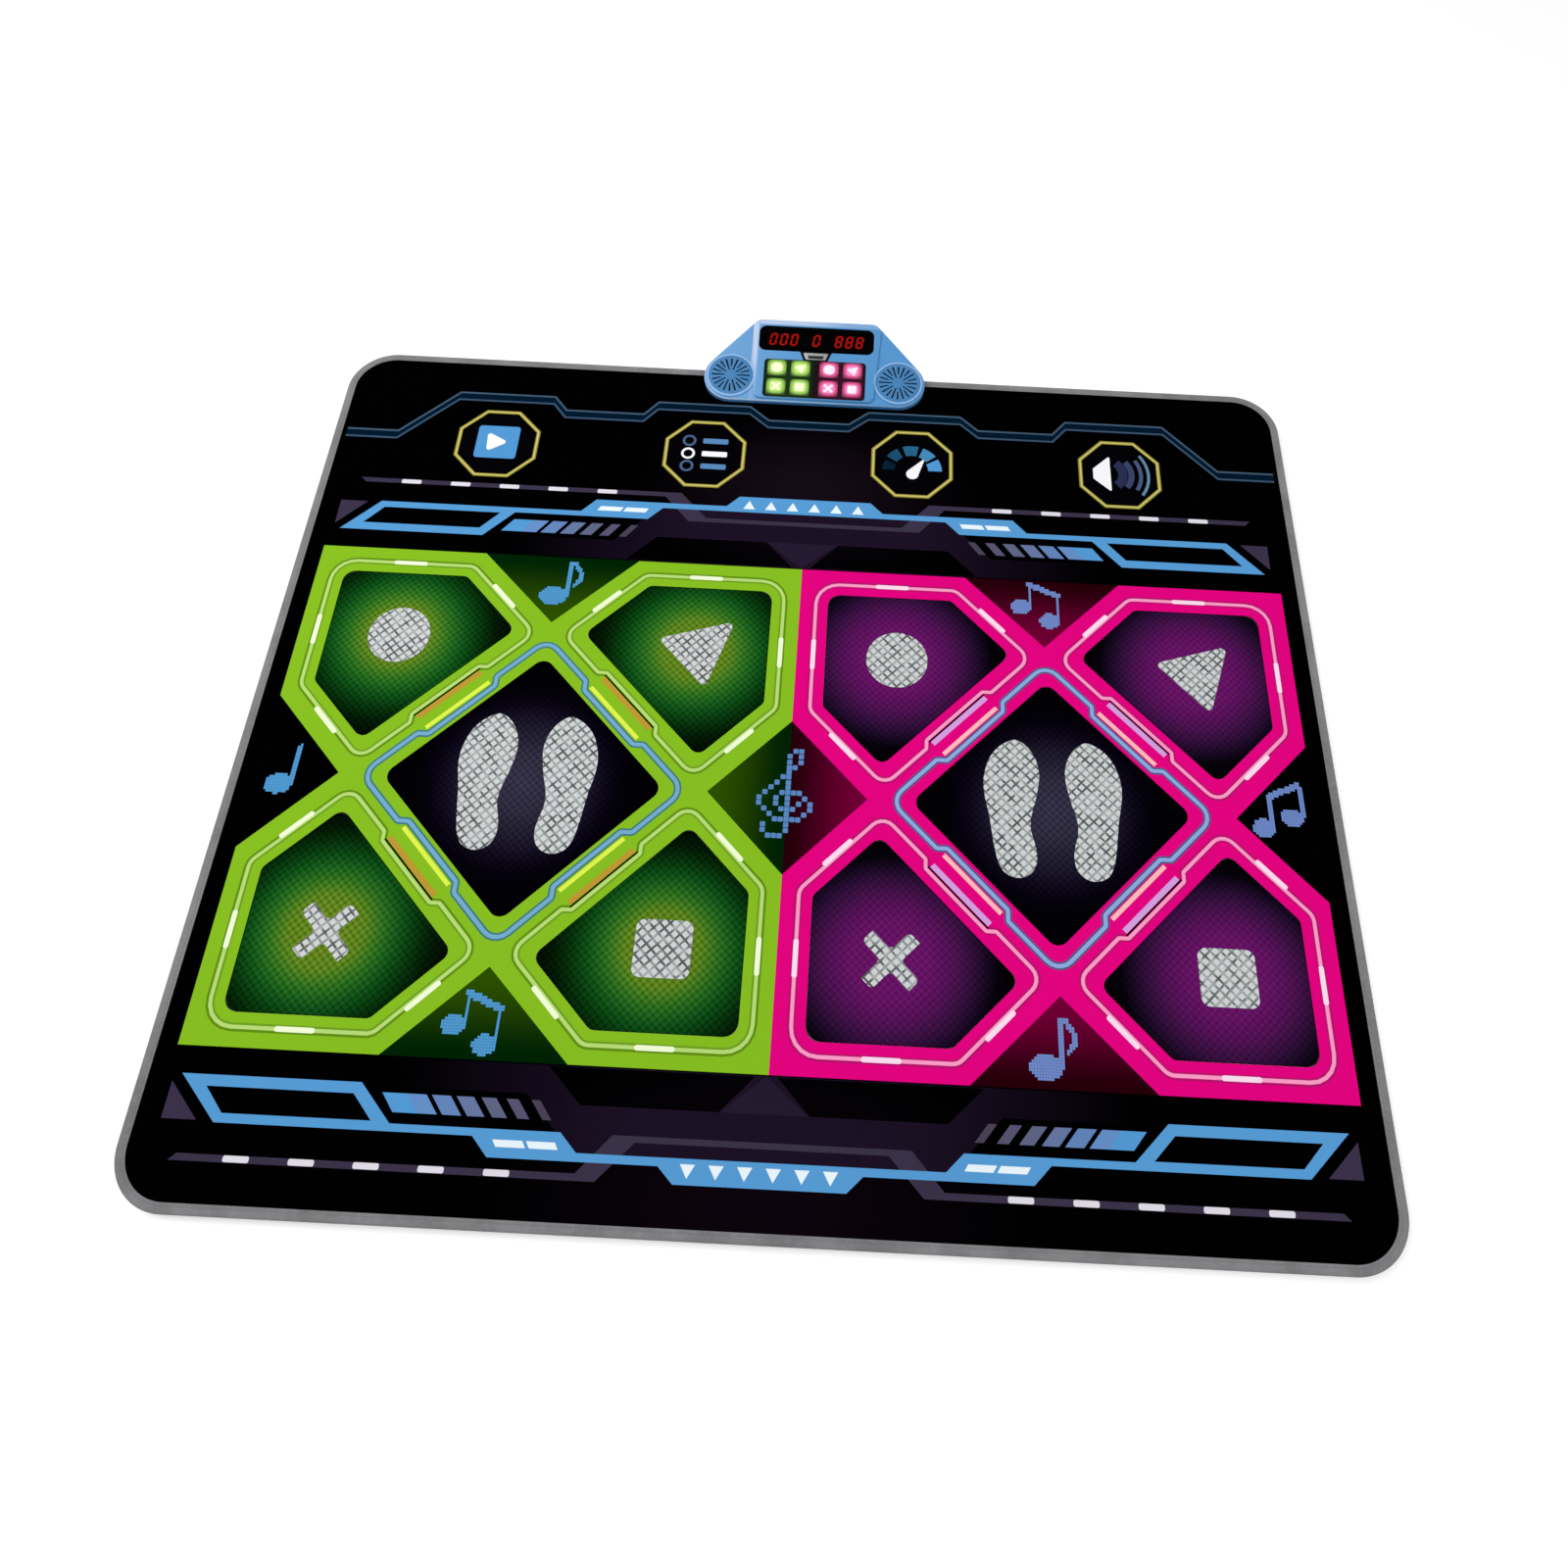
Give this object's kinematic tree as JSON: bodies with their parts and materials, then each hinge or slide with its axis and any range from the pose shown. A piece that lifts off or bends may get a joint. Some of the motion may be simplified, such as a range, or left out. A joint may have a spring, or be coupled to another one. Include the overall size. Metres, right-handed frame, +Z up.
{
  "type": "dance rhythm machine",
  "caption": "Soft two-player electronic dance mat with pressure pads, a padded foam core and a sloping control console with display, keys and speakers on its back edge.",
  "frame": {"origin": "centre of the mat's underside, on the floor", "axes": "+X to the players' right along the mat's width, +Y away from the players towards the console, +Z up"},
  "size_m": [1.112, 1.0091, 0.0281],
  "materials": {
    "printed_fabric": "printed woven polyester, satin",
    "green_print": "printed woven polyester, satin",
    "pink_print": "printed woven polyester, satin",
    "binding_tape": "folded woven edge tape",
    "non_slip_backing": "dotted non-slip backing",
    "foam": "open-cell foam",
    "contact_film": "polyester film with printed tracks",
    "carbon_contact": "carbon-printed film",
    "blue_plastic": "moulded gloss plastic",
    "grille_plastic": "moulded plastic",
    "black_plastic": "gloss black plastic",
    "base_plastic": "fine-textured moulded plastic",
    "smoked_lens": "smoked clear plastic",
    "display_module": "seven-segment display modules",
    "green_key": "backlit translucent plastic",
    "pink_key": "backlit translucent plastic",
    "badge_silver": "satin silver",
    "circuit_board": "solder mask on glass-fibre board",
    "silicone_rubber": "moulded silicone",
    "loudspeaker_black": "plastic frame and cone",
    "battery_sleeve": "printed steel can",
    "zinc_steel": "zinc-plated steel"
  },
  "bodies": {
    "root": {"bottom_cover": "non_slip_backing", "edge_binding": "binding_tape", "lower_contact_film": "contact_film", "spacer_foam": "foam", "cushion_foam": "foam", "top_cover": "printed_fabric", "clamp_bar": "zinc_steel", "sensor_tail": "contact_film", "upper_housing": "blue_plastic", "lower_housing": "base_plastic", "key_bezel": "black_plastic", "key_membrane": "silicone_rubber", "display_window": "smoked_lens", "digit_module_left": "display_module", "digit_module_middle": "display_module", "digit_module_right": "display_module", "badge_plate": "badge_silver", "main_board": "circuit_board", "speaker_grille_left": "grille_plastic", "speaker_grille_right": "grille_plastic", "loudspeaker_left": "loudspeaker_black", "loudspeaker_right": "loudspeaker_black", "battery_1": "battery_sleeve", "battery_2": "battery_sleeve", "battery_3": "battery_sleeve", "screw_front_left": "zinc_steel", "screw_front_right": "zinc_steel", "screw_rear_left": "zinc_steel", "screw_rear_right": "zinc_steel"},
    "step_green_circle": {"step_pad_green_circle": "green_print", "contact_green_circle": "carbon_contact"},
    "step_green_triangle": {"step_pad_green_triangle": "green_print", "contact_green_triangle": "carbon_contact"},
    "step_green_cross": {"step_pad_green_cross": "green_print", "contact_green_cross": "carbon_contact"},
    "step_green_square": {"step_pad_green_square": "green_print", "contact_green_square": "carbon_contact"},
    "step_pink_circle": {"step_pad_pink_circle": "pink_print", "contact_pink_circle": "carbon_contact"},
    "step_pink_triangle": {"step_pad_pink_triangle": "pink_print", "contact_pink_triangle": "carbon_contact"},
    "step_pink_cross": {"step_pad_pink_cross": "pink_print", "contact_pink_cross": "carbon_contact"},
    "step_pink_square": {"step_pad_pink_square": "pink_print", "contact_pink_square": "carbon_contact"},
    "function_play": {"function_pad_play": "printed_fabric"},
    "function_song": {"function_pad_song": "printed_fabric"},
    "function_speed": {"function_pad_speed": "printed_fabric"},
    "function_volume": {"function_pad_volume": "printed_fabric"},
    "button_green_circle": {"key_green_circle": "green_key"},
    "button_green_triangle": {"key_green_triangle": "green_key"},
    "button_green_cross": {"key_green_cross": "green_key"},
    "button_green_square": {"key_green_square": "green_key"},
    "button_pink_circle": {"key_pink_circle": "pink_key"},
    "button_pink_triangle": {"key_pink_triangle": "pink_key"},
    "button_pink_cross": {"key_pink_cross": "pink_key"},
    "button_pink_square": {"key_pink_square": "pink_key"},
    "switch": {"power_switch": "black_plastic"},
    "door": {"battery_door": "base_plastic"}
  },
  "joints": [
    {"name": "press_green_circle", "type": "slide", "parent": "root", "child": "step_green_circle", "axis": [0, 0, -1], "range_m": [0, 0.002], "stiffness_N_per_m": 9000, "springref_m": -0.0004},
    {"name": "press_green_triangle", "type": "slide", "parent": "root", "child": "step_green_triangle", "axis": [0, 0, -1], "range_m": [0, 0.002], "stiffness_N_per_m": 9000, "springref_m": -0.0004},
    {"name": "press_green_cross", "type": "slide", "parent": "root", "child": "step_green_cross", "axis": [0, 0, -1], "range_m": [0, 0.002], "stiffness_N_per_m": 9000, "springref_m": -0.0004},
    {"name": "press_green_square", "type": "slide", "parent": "root", "child": "step_green_square", "axis": [0, 0, -1], "range_m": [0, 0.002], "stiffness_N_per_m": 9000, "springref_m": -0.0004},
    {"name": "press_pink_circle", "type": "slide", "parent": "root", "child": "step_pink_circle", "axis": [0, 0, -1], "range_m": [0, 0.002], "stiffness_N_per_m": 9000, "springref_m": -0.0004},
    {"name": "press_pink_triangle", "type": "slide", "parent": "root", "child": "step_pink_triangle", "axis": [0, 0, -1], "range_m": [0, 0.002], "stiffness_N_per_m": 9000, "springref_m": -0.0004},
    {"name": "press_pink_cross", "type": "slide", "parent": "root", "child": "step_pink_cross", "axis": [0, 0, -1], "range_m": [0, 0.002], "stiffness_N_per_m": 9000, "springref_m": -0.0004},
    {"name": "press_pink_square", "type": "slide", "parent": "root", "child": "step_pink_square", "axis": [0, 0, -1], "range_m": [0, 0.002], "stiffness_N_per_m": 9000, "springref_m": -0.0004},
    {"name": "press_play", "type": "slide", "parent": "root", "child": "function_play", "axis": [0, 0, -1], "range_m": [0, 0.002], "stiffness_N_per_m": 4000, "springref_m": -0.0004},
    {"name": "press_song", "type": "slide", "parent": "root", "child": "function_song", "axis": [0, 0, -1], "range_m": [0, 0.002], "stiffness_N_per_m": 4000, "springref_m": -0.0004},
    {"name": "press_speed", "type": "slide", "parent": "root", "child": "function_speed", "axis": [0, 0, -1], "range_m": [0, 0.002], "stiffness_N_per_m": 4000, "springref_m": -0.0004},
    {"name": "press_volume", "type": "slide", "parent": "root", "child": "function_volume", "axis": [0, 0, -1], "range_m": [0, 0.002], "stiffness_N_per_m": 4000, "springref_m": -0.0004},
    {"name": "key_press_green_circle", "type": "slide", "parent": "root", "child": "button_green_circle", "axis": [0, 0.1045, -0.9945], "range_m": [0, 0.0012], "stiffness_N_per_m": 800, "springref_m": -0.0004},
    {"name": "key_press_green_triangle", "type": "slide", "parent": "root", "child": "button_green_triangle", "axis": [0, 0.1045, -0.9945], "range_m": [0, 0.0012], "stiffness_N_per_m": 800, "springref_m": -0.0004},
    {"name": "key_press_green_cross", "type": "slide", "parent": "root", "child": "button_green_cross", "axis": [0, 0.1045, -0.9945], "range_m": [0, 0.0012], "stiffness_N_per_m": 800, "springref_m": -0.0004},
    {"name": "key_press_green_square", "type": "slide", "parent": "root", "child": "button_green_square", "axis": [0, 0.1045, -0.9945], "range_m": [0, 0.0012], "stiffness_N_per_m": 800, "springref_m": -0.0004},
    {"name": "key_press_pink_circle", "type": "slide", "parent": "root", "child": "button_pink_circle", "axis": [0, 0.1045, -0.9945], "range_m": [0, 0.0012], "stiffness_N_per_m": 800, "springref_m": -0.0004},
    {"name": "key_press_pink_triangle", "type": "slide", "parent": "root", "child": "button_pink_triangle", "axis": [0, 0.1045, -0.9945], "range_m": [0, 0.0012], "stiffness_N_per_m": 800, "springref_m": -0.0004},
    {"name": "key_press_pink_cross", "type": "slide", "parent": "root", "child": "button_pink_cross", "axis": [0, 0.1045, -0.9945], "range_m": [0, 0.0012], "stiffness_N_per_m": 800, "springref_m": -0.0004},
    {"name": "key_press_pink_square", "type": "slide", "parent": "root", "child": "button_pink_square", "axis": [0, 0.1045, -0.9945], "range_m": [0, 0.0012], "stiffness_N_per_m": 800, "springref_m": -0.0004},
    {"name": "power_switch_slide", "type": "slide", "parent": "root", "child": "switch", "axis": [1, 0, 0], "range_m": [0, 0.004]},
    {"name": "battery_door_slide", "type": "slide", "parent": "root", "child": "door", "axis": [0, 1, 0], "range_m": [0, 0.05]}
  ]
}
